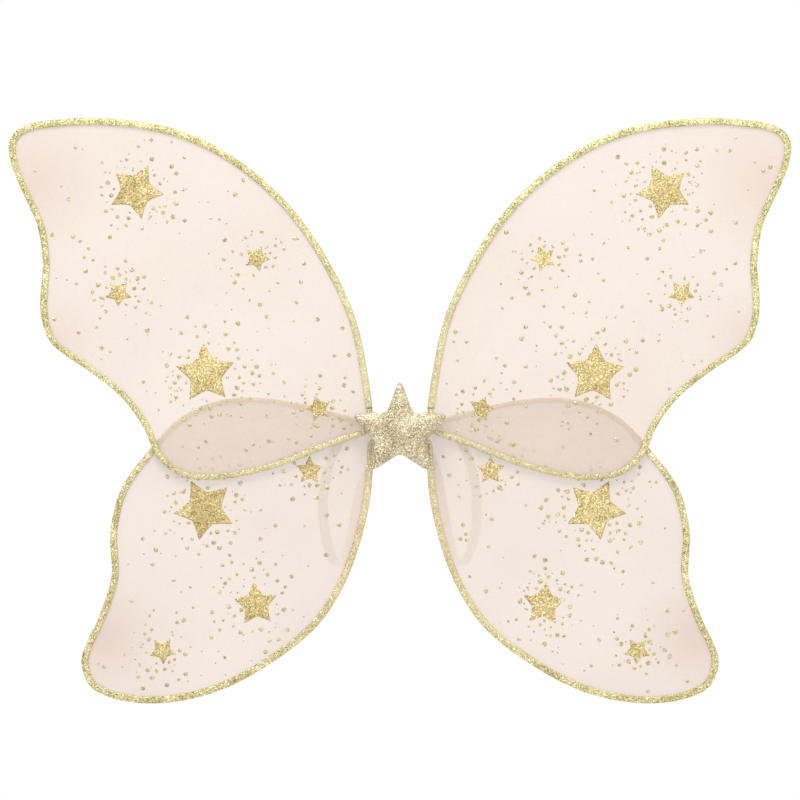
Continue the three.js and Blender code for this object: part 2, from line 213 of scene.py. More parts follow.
class Shader:
    """A Principled material with short ways to add the nodes used here. Sizes are in millimetres."""

    def __init__(self, name, roughness=0.6, metallic=0.0):
        self.material = bpy.data.materials.new(name)
        self.material.use_nodes = True
        self.tree = self.material.node_tree
        self.principled = self.tree.nodes["Principled BSDF"]
        self.principled.inputs["Roughness"].default_value = roughness
        self.principled.inputs["Metallic"].default_value = metallic
        self.place = self.node("ShaderNodeTexCoord").outputs["Object"]

    def node(self, kind, **settings):
        made = self.tree.nodes.new(kind)
        for name, value in settings.items():
            setattr(made, name, value)
        return made

    def link(self, output, target):
        self.tree.links.new(output, target)

    def feed(self, socket, output):
        self.link(output, self.principled.inputs[socket])

    def noise(self, size, detail=3.0):
        """Soft random patches."""
        made = self.node("ShaderNodeTexNoise")
        made.inputs["Scale"].default_value = 1000 / size
        made.inputs["Detail"].default_value = detail
        self.link(self.place, made.inputs["Vector"])
        return made.outputs["Fac"]

    def flakes(self, size):
        """Cells of one random colour each, for glitter."""
        made = self.node("ShaderNodeTexVoronoi", feature="F1")
        made.inputs["Scale"].default_value = 1000 / size
        self.link(self.place, made.inputs["Vector"])
        return made.outputs["Color"]

    def wave(self, size, direction, place=None, distortion=0.0):
        """Stripes a size apart."""
        made = self.node("ShaderNodeTexWave", bands_direction=direction)
        made.inputs["Scale"].default_value = 1000 / size / WAVE_STRIPES
        made.inputs["Distortion"].default_value = distortion
        self.link(place or self.place, made.inputs["Vector"])
        return made.outputs["Fac"]

    def math(self, kind, a, b):
        """A sum on a and b. Each is a number or an output."""
        made = self.node("ShaderNodeMath", operation=kind)
        for socket, value in zip(made.inputs, (a, b)):
            if isinstance(value, (int, float)):
                socket.default_value = value
            else:
                self.link(value, socket)
        return made.outputs[0]

    def spread(self, value, low, high, from_low=0.0, from_high=1.0):
        """value, drawn out from its own range to low..high and kept inside it."""
        made = self.node("ShaderNodeMapRange")
        self.link(value, made.inputs["Value"])
        limits = {"From Min": from_low, "From Max": from_high, "To Min": low, "To Max": high}
        for name, number in limits.items():
            made.inputs[name].default_value = number
        return made.outputs["Result"]

    def ramp(self, value, stops):
        """The colour at value between stops: (position, colour), in order."""
        made = self.node("ShaderNodeValToRGB")
        elements = made.color_ramp.elements
        while len(elements) < len(stops):
            elements.new(0.5)
        for element, (position, colour) in zip(elements, stops):
            element.position = position
            element.color = (*colour, 1)
        self.link(value, made.inputs["Fac"])
        return made.outputs["Color"]

    def mix(self, factor, a, b, blend="MIX"):
        """Colour a turning into b as factor goes from 0 to 1. Each is a number, a colour or an output."""
        made = self.node("ShaderNodeMix", data_type="RGBA", blend_type=blend)
        sockets = [s for s in made.inputs if s.enabled]
        for socket, value in zip(sockets, (factor, a, b)):
            if isinstance(value, (int, float)):
                socket.default_value = value
            elif isinstance(value, tuple):
                socket.default_value = (*value, 1)
            else:
                self.link(value, socket)
        return next(s for s in made.outputs if s.enabled)

    def near(self, point, radius):
        """1 at point (in metres), falling smoothly to 0 at radius."""
        made = self.node("ShaderNodeVectorMath", operation="DISTANCE")
        made.inputs[1].default_value = point
        self.link(self.place, made.inputs[0])
        return self.spread(made.outputs["Value"], 1, 0, 0, radius)

    def bump(self, height, strength, depth):
        """Raises the surface by height, up to depth."""
        made = self.node("ShaderNodeBump")
        made.inputs["Strength"].default_value = strength
        made.inputs["Distance"].default_value = depth * MM
        self.link(height, made.inputs["Height"])
        self.feed("Normal", made.outputs["Normal"])

    def tilt(self, colour, amount):
        """Turns the surface a little, each flake its own way."""
        centred = self.node("ShaderNodeVectorMath", operation="SUBTRACT")
        centred.inputs[1].default_value = (0.5, 0.5, 0.5)
        self.link(colour, centred.inputs[0])
        scaled = self.node("ShaderNodeVectorMath", operation="SCALE")
        scaled.inputs["Scale"].default_value = amount
        self.link(centred.outputs[0], scaled.inputs[0])
        added = self.node("ShaderNodeVectorMath", operation="ADD")
        self.link(self.node("ShaderNodeNewGeometry").outputs["Normal"], added.inputs[0])
        self.link(scaled.outputs[0], added.inputs[1])
        unit = self.node("ShaderNodeVectorMath", operation="NORMALIZE")
        self.link(added.outputs[0], unit.inputs[0])
        self.feed("Normal", unit.outputs[0])


def plain_material(name, colour):
    """Matt, with faint cloudy shading."""
    shader = Shader(name, roughness=0.9)
    shade = shader.spread(shader.noise(40), 0.97, 1.0)
    shader.feed("Base Color", shader.mix(shade, FLOOR_GREY, colour))
    return shader.material


def glitter(name, metallic=0.55, pale_and_painted_light=None):
    """Fabric or print covered with fine foil flakes, which can fade to a given colour near the middle: the
    binding's paler tone there and, on the lower wings, painted light over the shade the upper mesh casts on
    their binding.
    """
    fade_reach, fade_share = 0.20, 0.8
    dark, middle, light, flake = GLITTER[name]
    shader = Shader(name, roughness=0.35, metallic=metallic)
    colour = shader.flakes(flake)
    value = shader.node("ShaderNodeSeparateColor")
    shader.link(colour, value.inputs[0])
    drift = shader.spread(shader.noise(14, 2), -0.16, 0.16, 0.3, 0.7)
    pick = shader.math("ADD", value.outputs[0], drift)
    # Flakes at the top of the ramp are painted glints, bright whatever the lamps do.
    shade = shader.ramp(pick, [(0.04, dark), (0.26, middle), (0.70, middle), (0.90, light)])
    if pale_and_painted_light:
        # Near the middle the colour fades to the given one. On the lower binding this is partly painted
        # light.
        fade = shader.math("MULTIPLY", shader.near((0, 0, 0), fade_reach), fade_share)
        shade = shader.mix(fade, shade, pale_and_painted_light)
    shader.feed("Base Color", shade)
    shader.feed("Roughness", shader.spread(value.outputs[1], 0.22, 0.55))
    shader.tilt(colour, 0.75)
    shader.principled.inputs["Specular IOR Level"].default_value = 0.6
    return shader.material


def sheer_mesh(name, painted_shade, blotches):
    """Fine woven sheer mesh. Its alpha is the share of thread in the weave. blotches are soft pink stains."""
    weave, open_share, close_share, stain_share = 0.62, 0.56, 0.71, 0.15
    shader = Shader(name, roughness=0.75)
    warp = shader.wave(weave, "X", distortion=0.4)
    weft = shader.wave(weave, "Z", distortion=0.4)
    threads = shader.math("MAXIMUM", warp, weft)
    stain = shader.spread(shader.noise(95, 1), 0.0, 0.28, 0.42, 0.72)
    for point, radius, strength in blotches:
        blotch = shader.math("MULTIPLY", shader.near(point, radius), strength)
        stain = shader.math("MAXIMUM", stain, blotch)
    # A factor below 1 darkens the lower wings' copy of the mesh: painted shade.
    cream, pink = (tuple(c * painted_shade for c in colour) for colour in (MESH_CREAM, MESH_PINK))
    grain = shader.spread(shader.noise(1.4, 2), 0.93, 1.05)
    shader.feed("Base Color", shader.mix(1.0, shader.mix(stain, cream, pink), grain, "MULTIPLY"))
    gauze = shader.spread(threads, open_share, close_share, 0.45, 1.0)
    shader.feed("Alpha", shader.math("ADD", gauze, shader.math("MULTIPLY", stain, stain_share)))
    shader.bump(threads, 0.35, 0.12)
    shader.feed("Roughness", shader.spread(shader.noise(3), 0.62, 0.85))
    shader.principled.inputs["Sheen Weight"].default_value = 0.25
    return shader.material


def woven(name, colour, thread, place_map=None, roughness=0.85):
    """Plain woven cloth or elastic. With place_map, the weave follows that UV map, in metres."""
    shader = Shader(name, roughness=roughness)
    place, second = shader.place, "Z"
    if place_map:
        place, second = shader.node("ShaderNodeUVMap", uv_map=place_map).outputs["UV"], "Y"
    ribs = shader.wave(thread, "X", place, 0.6)
    cords = shader.wave(thread * 1.35, second, place, 0.3)
    height = shader.math("MAXIMUM", ribs, cords)
    # The low parts of the weave are painted darker: painted shade in the grooves between the threads.
    dark = tuple(c * 0.80 for c in colour)
    shade = shader.mix(shader.spread(height, 0.25, 1.0), dark, colour)
    grain = shader.spread(shader.noise(2.2), 0.94, 1.04)
    shader.feed("Base Color", shader.mix(1.0, shade, grain, "MULTIPLY"))
    shader.feed("Roughness", shader.spread(shader.noise(4), roughness - 0.1, roughness + 0.08))
    shader.bump(height, 0.6, 0.16)
    shader.principled.inputs["Sheen Weight"].default_value = 0.2
    return shader.material


def felt(name, colour):
    """Matt fuzzy felt with soft clumps."""
    shader = Shader(name, roughness=0.95)
    fuzz = shader.noise(0.5, 6)
    clumps = shader.noise(3.5, 4)
    shade = shader.mix(shader.spread(clumps, 0, 1, 0.35, 0.7), tuple(c * 0.88 for c in colour), colour)
    shader.feed("Base Color", shader.mix(1.0, shade, shader.spread(fuzz, 0.9, 1.08), "MULTIPLY"))
    shader.feed("Roughness", shader.spread(fuzz, 0.88, 1.0))
    shader.bump(shader.math("ADD", fuzz, clumps), 0.7, 0.25)
    shader.principled.inputs["Sheen Weight"].default_value = 0.4
    return shader.material


def drawn_steel(name):
    """Steel wire with fine drawn streaks."""
    shader = Shader(name, roughness=0.35, metallic=1.0)
    streak = shader.noise(0.8, 4)
    shader.feed("Base Color", shader.ramp(streak, [(0.3, STEEL_DARK), (0.7, STEEL_LIGHT)]))
    shader.feed("Roughness", shader.spread(streak, 0.28, 0.48))
    shader.bump(streak, 0.15, 0.05)
    return shader.material


# ---------------------------------------------------------------- mesh helpers

def mesh_object(name, points, faces, material, uvs=None):
    """A smooth mesh. The faces of a closed one are turned to look outwards."""
    data = bpy.data.meshes.new(name)
    data.from_pydata([tuple(p) for p in points], [], faces)
    work = bmesh.new()
    work.from_mesh(data)
    if all(edge.is_manifold for edge in work.edges):
        bmesh.ops.recalc_face_normals(work, faces=work.faces)
        work.to_mesh(data)
    work.free()
    data.materials.append(material)
    data.polygons.foreach_set("use_smooth", [True] * len(data.polygons))
    if uvs:
        layer = data.uv_layers.new(name="weave")
        for loop in data.loops:
            layer.data[loop.index].uv = uvs[loop.vertex_index]
    made = bpy.data.objects.new(name, data)
    bpy.context.scene.collection.objects.link(made)
    return made


def add_piece(made, body, slot, *replaced):
    """Lets a piece ride on a body, and hides the CAD nodes that it stands for. slot is not used."""
    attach(made, body)
    if replaced:
        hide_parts(*replaced)


def recoat(node, material):
    """Gives a CAD node that stays in view its finished material."""
    slots = frame["nodes"][node].data.materials
    slots.clear()
    slots.append(material)


def direction(line, i):
    """The unit direction of a line of points at its point i."""
    return (line[min(i + 1, len(line) - 1)] - line[max(i - 1, 0)]).normalized()


def line_length(line):
    return sum((b - a).length for a, b in zip(line, line[1:]))


def signed_area(outline):
    """An outline's area. It is positive if the points run anticlockwise."""
    return 0.5 * sum(a.x * b.y - b.x * a.y for a, b in zip(outline, outline[1:] + outline[:1]))


def smooth_line(points, count):
    """count points spaced evenly along a Catmull-Rom line through points."""
    ends = [points[0] * 2 - points[1], *points, points[-1] * 2 - points[-2]]
    fine = []
    for a, b, c, d in zip(ends, ends[1:], ends[2:], ends[3:]):
        for k in range(12):
            t = k / 12
            fine.append(0.5 * (2 * b + (c - a) * t + (2 * a - 5 * b + 4 * c - d) * t * t
                               + (3 * b - a - 3 * c + d) * t ** 3))
    fine.append(points[-1])
    lengths = [0.0]
    for a, b in zip(fine, fine[1:]):
        lengths.append(lengths[-1] + (b - a).length)
    out, k = [], 0
    for i in range(count):
        target = lengths[-1] * i / (count - 1)
        while k < len(fine) - 2 and lengths[k + 1] < target:
            k += 1
        share = (target - lengths[k]) / max(lengths[k + 1] - lengths[k], 1e-9)
        out.append(fine[k].lerp(fine[k + 1], min(1.0, share)))
    return out


def tube_faces(stations, around):
    """The faces of a closed tube: rings of so many points around, one at each station, and its two ends."""
    faces = []
    for i in range(stations - 1):
        for k in range(around):
            a, b = i * around + k, i * around + (k + 1) % around
            faces.append((a, b, b + around, a + around))
    faces.append(tuple(range(around))[::-1])
    faces.append(tuple(range((stations - 1) * around, stations * around)))
    return faces


def stitch_places(line, pitch, closed=False):
    """Where the stitches go along a finely divided line: (point, direction). On a closed line they are
    evenly spaced all the way round."""
    total = line_length(line)
    count = int(total / pitch)
    step = total / count if closed else pitch
    spots = [int((i + 0.5) * step / total * (len(line) - 1)) for i in range(count)]
    return [(line[at], direction(line, at)) for at in spots]


def add_stitches(points, faces, places, out, length, radius, dip):
    """Adds one short thread per place: (middle, direction). Its ends dip into the cloth, away from out."""
    ring = ((1, 0), (0.5, 0.9), (-0.5, 0.9), (-1, 0), (-0.5, -0.9), (0.5, -0.9))
    rings = ((-0.5, 0.3, dip), (-0.3, 1, 0), (0.3, 1, 0), (0.5, 0.3, dip))
    for middle, along in places:
        side = along.cross(out)
        start = len(points)
        for step, swell, depth in rings:
            centre = middle + along * step * length - out * depth
            points += [centre + (side * a + out * b) * radius * swell for a, b in ring]
        faces += [tuple(start + v for v in f) for f in tube_faces(len(rings), len(ring))]


# ---------------------------------------------------------------- wings

def panel_outline(node, root_height):
    """The flat outline of a mesh panel as (x, z) points, anticlockwise from the front. It starts and ends at
    the root, which is its side nearest to the middle at root_height."""
    work = bmesh.new()
    work.from_mesh(frame["nodes"][node].data)
    bmesh.ops.remove_doubles(work, verts=work.verts, dist=1e-6)
    front = {f for f in work.faces if f.normal.y < -0.5}
    after = {}
    for face in front:
        corners = list(face.verts)
        for a, b in zip(corners, corners[1:] + corners[:1]):
            edge = work.edges.get((a, b))
            if sum(f in front for f in edge.link_faces) == 1:
                after[a] = b
    crossing = [v for v in after if (v.co.z > root_height) != (after[v].co.z > root_height)]
    first = min(crossing, key=lambda v: abs((v.co + after[v].co).x))
    loop = [after[first]]
    while loop[-1] is not first:
        loop.append(after[loop[-1]])
    points = [Vector((v.co.x, v.co.z)) for v in loop]
    work.free()
    return points if signed_area(points) > 0 else points[::-1]


def outward(line):
    """The outward normal at each point of an anticlockwise line."""
    ways = [direction(line, i) for i in range(len(line))]
    return [Vector((way.y, -way.x)) for way in ways]


def tail_heights(wire_node):
    """The heights of a wire frame's two tails, where they stop beside the bend line."""
    spots = [v.co for v in frame["nodes"][wire_node].data.vertices]
    nearest = min(abs(p.x) for p in spots)
    heights = [p.z for p in spots if abs(p.x) < nearest + 0.5 * MM]
    split = (min(heights) + max(heights)) / 2
    top = [z for z in heights if z > split]
    bottom = [z for z in heights if z <= split]
    return sum(top) / len(top), sum(bottom) / len(bottom)


class Wing:
    """One wing's outline, depth and gentle swell, shared by its mesh, binding and prints."""

    def __init__(self, side, level):
        self.name = side + "_" + level
        self.side = SIDES[side]
        self.level = level
        self.body = self.name + "_wing"
        self.panel = self.name + "_mesh_panel"
        self.low, self.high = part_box(self.panel)
        self.y = (self.low.y + self.high.y) / 2
        self.tails = tail_heights(self.name + "_wire_frame")
        self.edge = smooth_line(panel_outline(self.panel, sum(self.tails) / 2), EDGE_POINTS)
        self.normals = outward(self.edge)
        self.root = [Vector((self.side * x, z)) * MM for x, z in MESH_CORNERS[level]]
        if (self.root[0] - self.edge[-1]).length > (self.root[-1] - self.edge[-1]).length:
            self.root.reverse()
        self.coarse = self.edge[::6] + self.root

    def mirrored(self, x, z):
        """A left wing's point in mm, as this wing's point in metres."""
        return Vector((x * -self.side * MM, z * MM))

    def outward_at(self, point):
        """The outward normal of the edge where it is nearest to point."""
        return self.normals[min(range(len(self.edge)), key=lambda i: (self.edge[i] - point).length)]

    def edge_distance(self, point):
        """How far inside the outline a point lies. It is negative outside."""
        x, z = point
        inside, least = False, 1e9
        for a, b in zip(self.coarse, self.coarse[1:] + self.coarse[:1]):
            near, share = intersect_point_line(point, a, b)
            near = a if share < 0 else b if share > 1 else near
            least = min(least, (near - point).length)
            if (a.y > z) != (b.y > z) and x < a.x + (z - a.y) * (b.x - a.x) / (b.y - a.y):
                inside = not inside
        return least if inside else -least

    def depth(self, point):
        """The sheet's y at a point: pulled flat at the binding, with a slight swell and pulls inside."""
        flat_rim, swell_size, folds, fold_reach = 0.030, 13, 22, 0.17
        x, z = point
        hold = min(1.0, max(0.0, self.edge_distance(point)) / flat_rim)
        root = math.hypot(x - self.side * HINGE_X, z)
        fan = math.atan2(z, (x - self.side * HINGE_X) * self.side)
        swell = noise.noise(Vector((x * swell_size, z * swell_size, self.y * 400))) * 1.5
        pulls = 0.5 * math.sin(fan * folds + 0.8 * math.sin(root * 45)) * max(0.0, 1 - root / fold_reach)
        return self.y + hold * (swell + pulls) * MM


def make_sheet(wing, material):
    """The mesh panel, as a fine sheet that ends inside the binding."""
    spacing, tuck = 0.0055, 0.0004
    rim = [p + n * tuck for p, n in zip(wing.edge[::2], wing.normals[::2])]
    rim += smooth_line([wing.edge[-1], *wing.root, wing.edge[0]], 26)[1:-1]
    points = list(rim)
    rows = int((wing.high.z - wing.low.z) / spacing)
    columns = int((wing.high.x - wing.low.x) / spacing)
    for row in range(1, rows):
        for column in range(columns):
            x = wing.low.x + (column + 0.5 * (row % 2)) * spacing
            point = Vector((x, wing.low.z + row * spacing))
            if wing.edge_distance(point) > spacing * 0.55:
                points.append(point)
    count = len(rim)
    edges = [(i, (i + 1) % count) for i in range(count)]
    flat, _, faces, _, _, _ = delaunay_2d_cdt(points, edges, [tuple(range(count))], 1, 1e-7)
    placed = [(p.x, wing.depth(p), p.y) for p in flat]
    made = mesh_object(wing.name + "_sheer_sheet", placed, [f[::-1] for f in faces], material)
    return made


def make_binding(wing, material):
    """Folded glitter strip round the edge: a U section with soft shoulders, slightly gathered. It is a little
    narrower where the two wings overlap."""
    section = [(-0.35, -1.75), (-1.0, -1.9), (-1.45, -1.55), (-1.55, -0.6), (-1.5, 0.9), (-1.25, 1.9),
               (-0.7, 2.5), (0.0, 2.7), (0.7, 2.5), (1.25, 1.9), (1.5, 0.9), (1.55, -0.6), (1.45, -1.55),
               (1.0, -1.9), (0.35, -1.75), (0.3, 1.2), (-0.3, 1.2)]
    offset, narrowing, pucker_share, gather_share = 0.35, 0.2, 0.05, 0.09
    overlapped = -1 if wing.level == "upper" else 1
    points = []
    for i, (middle, normal) in enumerate(zip(wing.edge, wing.normals)):
        run = i * 0.31
        width = 1 - narrowing * max(0.0, normal.y * overlapped)
        pucker = 1 + pucker_share * noise.noise(Vector((run, 3.1, wing.y * 900)))
        gather = 1 + gather_share * noise.noise(Vector((run * 1.3, 7.7, wing.y * 900)))
        for through, out in section:
            place = middle + normal * (offset + out * pucker * width) * MM
            points.append((place.x, wing.y - through * gather * MM, place.y))
    faces = tube_faces(len(wing.edge), len(section))
    return mesh_object(wing.name + "_glitter_binding", points, faces, material)


def make_stitches(wing, material):
    """A running stitch along the binding's inner edge, on both faces."""
    inset, lift = 0.00085, 0.00158
    inner_edge = [p - n * inset for p, n in zip(wing.edge[2:-2:4], wing.normals[2:-2:4])]
    line = smooth_line(inner_edge, 2000)
    points, faces = [], []
    for face in (-1, 1):
        out = Vector((0, face, 0))
        places = [(Vector((spot.x, wing.y, spot.y)) + out * lift, Vector((along.x, 0, along.y)))
                  for spot, along in stitch_places(line, 0.0030)]
        add_stitches(points, faces, places, out, length=0.0019, radius=0.00017, dip=0.0001)
    return mesh_object(wing.name + "_binding_stitches", points, faces, material)


def star_points(middle, radius, turn):
    """Outline of a printed star with slightly hollow sides and softened tips. turn is in degrees."""
    notch, hollow, softening, per_edge = 0.52, 0.05, 0.05, 4
    corners = []
    for k in range(10):
        angle = math.radians(90 - turn) - k * math.pi / 5
        reach = radius * (notch if k % 2 else 1)
        corners.append(middle + Vector((reach * math.cos(angle), reach * math.sin(angle))))
    outline = []
    for a, b in zip(corners, corners[1:] + corners[:1]):
        for k in range(per_edge):
            t = k / per_edge
            outline.append(a.lerp(b, t).lerp(middle, hollow * math.sin(math.pi * t)))
    for k in range(0, len(outline), 2 * per_edge):
        outline[k] = outline[k].lerp(middle, softening)
    return outline


def print_solid(outline, depth_at, half, points, faces):
    """Adds a thin printed patch to points and faces: it shows on both faces of the sheet."""
    rim_share, bevel = 0.35, 0.12
    start, count = len(points), len(outline)
    middle = sum(outline, Vector((0, 0))) / count
    inner = [p.lerp(middle, bevel) for p in outline]
    for face in (-1, 1):
        points += [(p.x, depth_at(p) + face * half * rim_share, p.y) for p in outline]
        points += [(p.x, depth_at(p) + face * half, p.y) for p in inner]
        points.append((middle.x, depth_at(middle) + face * half, middle.y))
    back = 2 * count + 1
    for k in range(count):
        n = (k + 1) % count
        faces.append((start + k, start + n, start + back + n, start + back + k))
        for rim, order in ((start, 1), (start + back, -1)):
            inside = rim + count
            faces.append((rim + k, inside + k, inside + n, rim + n)[::order])
            faces.append((inside + k, inside + count, inside + n)[::order])


def make_star_prints(wing, material):
    points, faces = [], []
    for x, z, radius, turn in STARS[wing.level]:
        outline = star_points(wing.mirrored(x, z), radius * MM, turn * -wing.side)
        print_solid(outline, wing.depth, STAR_HALF * MM, points, faces)
    return mesh_object(wing.name + "_star_prints", points, faces, material)


def clear_of_stars(wing, point, margin):
    """True if point is at least margin away from the printed stars, arms and notches alike."""
    notch_depth = 0.52
    for x, z, radius, turn in STARS[wing.level]:
        away = point - wing.mirrored(x, z)
        angle = math.atan2(away.y, away.x) - math.radians(90 - turn * -wing.side)
        arm = abs((angle / (2 * math.pi / 5) + 0.5) % 1 - 0.5) * 2
        if away.length < radius * MM * (1.0 - notch_depth * arm) + margin:
            return False
    return True


def scatter(wing, count, sizes, gap, seed):
    """Dots thrown thickly round the printed stars and thinly between them, never on top of each other."""
    least_share, cloud_reach, edge_gap, star_gap = 0.035, 6.8, 0.0035, 0.0008
    stars = [(wing.mirrored(x, z), radius * MM) for x, z, radius, _ in STARS[wing.level]]
    draw = random.Random(seed)
    found = []
    tries = 0
    while len(found) < count and tries < 60000:
        tries += 1
        radius = draw.uniform(*sizes) * MM
        x = draw.uniform(wing.low.x, wing.high.x)
        point = Vector((x, draw.uniform(wing.low.z, wing.high.z)))
        nearest = min(((point - star).length - reach) / MM for star, reach in stars)
        wanted = least_share + (1 - least_share) * math.exp(-max(0.0, nearest) / cloud_reach)
        if draw.random() > wanted:
            continue
        if any((point - other).length < radius + size + gap * MM for other, size in found):
            continue
        if wing.edge_distance(point) < radius + edge_gap:
            continue
        if clear_of_stars(wing, point, radius + star_gap):
            found.append((point, radius))
    return found


def make_dots(wing, dots, name, material, seed, half):
    """Each dot as an eight-sided, slightly uneven print."""
    draw = random.Random(seed)
    points, faces = [], []
    for place, radius in dots:
        stretch, lean = draw.uniform(0.82, 1.0), draw.uniform(0, math.pi)
        outline = []
        for k in range(8):
            angle = -k * math.pi / 4
            spot = Vector((math.cos(angle), stretch * math.sin(angle))) * radius * draw.uniform(0.88, 1.08)
            spot.rotate(Matrix.Rotation(lean, 2))
            outline.append(place + spot)
        print_solid(outline, wing.depth, half, points, faces)
    return mesh_object(wing.name + name, points, faces, material)


def make_wing(wing, edge, prints, thread, steel):
    """All of one wing: mesh, binding, stitches, wire sleeves, printed stars and dots, and its steel wire."""
    level, slot = wing.level, "edge_glitter"
    blotches = []
    for x, z, radius, strength in STAINS[level]:
        middle = wing.mirrored(x, z)
        blotches.append(((middle.x, wing.y, middle.y), radius * MM, strength))
    cloth = sheer_mesh(wing.name + "_sheer_mesh", MESH_PAINTED_SHADE[level], blotches)
    add_piece(make_sheet(wing, cloth), wing.body, "sheer_mesh", wing.panel)
    add_piece(make_binding(wing, edge), wing.body, slot, wing.name + "_edge_binding")
    add_piece(make_stitches(wing, thread), wing.body, slot)
    make_sleeves(wing, edge)
    star_ink, dot_ink, speck_ink = prints
    add_piece(make_star_prints(wing, star_ink), wing.body, slot)
    seed = len(wing.name) * 7 + (1 if level == "upper" else 2)
    dots = scatter(wing, DOTS[level], DOT_RADII, DOT_GAP, seed)
    add_piece(make_dots(wing, dots, "_glitter_dots", dot_ink, seed, DOT_HALF * MM), wing.body, slot)
    specks = scatter(wing, SPECKS[level], SPECK_RADII, SPECK_GAP, seed + 50)
    add_piece(make_dots(wing, specks, "_glitter_specks", speck_ink, seed, SPECK_HALF * MM), wing.body, slot)
    recoat(wing.name + "_wire_frame", steel)


def make_wings(steel):
    edges = {
        "upper": glitter("edge_gold_glitter", pale_and_painted_light=UPPER_EDGE_PALE),
        "lower": glitter("lower_edge_gold_glitter", pale_and_painted_light=LOWER_EDGE_PALE_AND_PAINTED_LIGHT),
    }
    prints = [glitter(name) for name in ("print_gold_glitter", "print_dot_glitter", "print_speck_glitter")]
    thread = woven("binding_thread", EDGE_THREAD, 0.3)
    for side in SIDES:
        for level, edge in edges.items():
            make_wing(Wing(side, level), edge, prints, thread, steel)


# ---------------------------------------------------------------- padded pieces

def applied(made):
    """Turns an object's mesh into what its modifiers make of it."""
    graph = bpy.context.evaluated_depsgraph_get()
    made.data = bpy.data.meshes.new_from_object(made.evaluated_get(graph), depsgraph=graph)
    made.modifiers.clear()


def inflate(made, voxel, cap, seam, hold):
    """Swells a padded piece with a short cloth run at ten times its size, then brings it back to size.
    No point moves further than cap. Points no further than hold from y = seam stay where they are."""
    grow, pressure, frames = 10, 4, 20
    made.data.transform(Matrix.Scale(grow, 4))
    remesh = made.modifiers.new("remesh", "REMESH")
    remesh.mode = "VOXEL"
    remesh.voxel_size = voxel * grow
    applied(made)
    start = [v.co.copy() for v in made.data.vertices]
    cloth = made.modifiers.new("cloth", "CLOTH")
    cloth.settings.use_pressure = True
    cloth.settings.uniform_pressure_force = pressure
    cloth.settings.effector_weights.gravity = 0
    cloth.collision_settings.use_collision = False
    pins = made.vertex_groups.new(name="held")
    pins.add([v.index for v in made.data.vertices if abs(v.co.y / grow - seam) < hold], 1, "REPLACE")
    cloth.settings.vertex_group_mass = pins.name
    for frame_number in range(1, frames + 1):
        bpy.context.scene.frame_set(frame_number)
    applied(made)
    bpy.context.scene.frame_set(1)
    for vertex, old in zip(made.data.vertices, start):
        move = vertex.co - old
        if move.length > cap * grow:
            vertex.co = old + move.normalized() * cap * grow
    made.vertex_groups.clear()
    made.data.transform(Matrix.Scale(1 / grow, 4))
    soften = made.modifiers.new("soften", "SUBSURF")
    soften.levels = soften.render_levels = 1
    applied(made)
    made.data.polygons.foreach_set("use_smooth", [True] * len(made.data.polygons))


def draw_in_seam(made, seam, width, share, lowest, highest):
    """Pulls a padded piece in round its seam at y = seam, and keeps its depth from lowest to highest."""
    for vertex in made.data.vertices:
        near = math.exp(-((vertex.co.y - seam) / width) ** 2)
        vertex.co.x *= 1 - share * near
        vertex.co.z *= 1 - share * near
        vertex.co.y = max(lowest, min(highest, vertex.co.y))


def pillow_block(name, outline, profile, material):
    """A closed block: the outline, (x, z) about its middle, scaled and set at each (scale, y) of profile."""
    points = [(p.x * scale, y, p.y * scale) for scale, y in profile for p in outline]
    return mesh_object(name, points, tube_faces(len(profile), len(outline)), material)


def star_outline(tip, notches, roundings):
    """A five-point star of straight sides with rounded corners, as (x, z) points."""
    steps, corners = 14, []
    for k in range(10):
        reach = notches[k // 2] if k % 2 else tip
        angle = math.pi / 2 - k * math.pi / 5
        corners.append(Vector((math.cos(angle), math.sin(angle))) * reach)
    outline = []
    for k, corner in enumerate(corners):
        here, there = roundings[k % 2], roundings[1 - k % 2]
        ahead = corners[(k + 1) % 10]
        before, after = corner.lerp(corners[k - 1], here), corner.lerp(ahead, here)
        outline += [before.lerp(corner, t).lerp(corner.lerp(after, t), t) for t in (0, 0.25, 0.5, 0.75, 1)]
        far = ahead.lerp(corner, there)
        outline += [after.lerp(far, t / steps) for t in range(1, steps)]
    return outline


def make_star_pad():
    """The padded star: two skins of champagne glitter fabric, seamed round the rim and filled."""
    low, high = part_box("star_front_skin")
    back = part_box("star_back_skin")[1].y
    middle = Vector(((low.x + high.x) / 2, (low.y + back) / 2, 0))
    half = (back - low.y) / 2
    outline = star_outline(STAR_TIP * MM, [n * MM for n in STAR_NOTCHES], STAR_ROUNDING)
    front = [(0.975, 0.0), (0.965, 0.2), (0.925, 0.42), (0.84, 0.62), (0.69, 0.79), (0.45, 0.93), (0.2, 0.98)]
    profile = [(s, -d * half) for s, d in front[::-1]] + [(s, d * half) for s, d in front[1:]]
    star = pillow_block("star_pad", outline, profile, glitter("champagne_glitter", metallic=0.4))
    inflate(star, voxel=0.00085, cap=0.0009, seam=0, hold=0.0006)
    draw_in_seam(star, 0, width=0.0006, share=0.034, lowest=-half, highest=half)
    star.data.transform(Matrix.Translation(middle))
    add_piece(star, "centre", "star_glitter", "star_front_skin", "star_back_skin", "star_filling")


def rounded_outline(half_width, half_height, radius, steps=8):
    """A rectangle with rounded corners, as (x, z) points, anticlockwise seen from the front."""
    corners = ((half_width, half_height), (-half_width, half_height), (-half_width, -half_height),
               (half_width, -half_height))
    outline = []
    for turn, (x, z) in enumerate(corners):
        centre = Vector((x - math.copysign(radius, x), z - math.copysign(radius, z)))
        for k in range(steps + 1):
            angle = (turn + k / steps) * math.pi / 2
            outline.append(centre + Vector((math.cos(angle), math.sin(angle))) * radius)
    return [a.lerp(b, k / 4) for a, b in zip(outline, outline[1:] + outline[:1]) for k in range(4)]


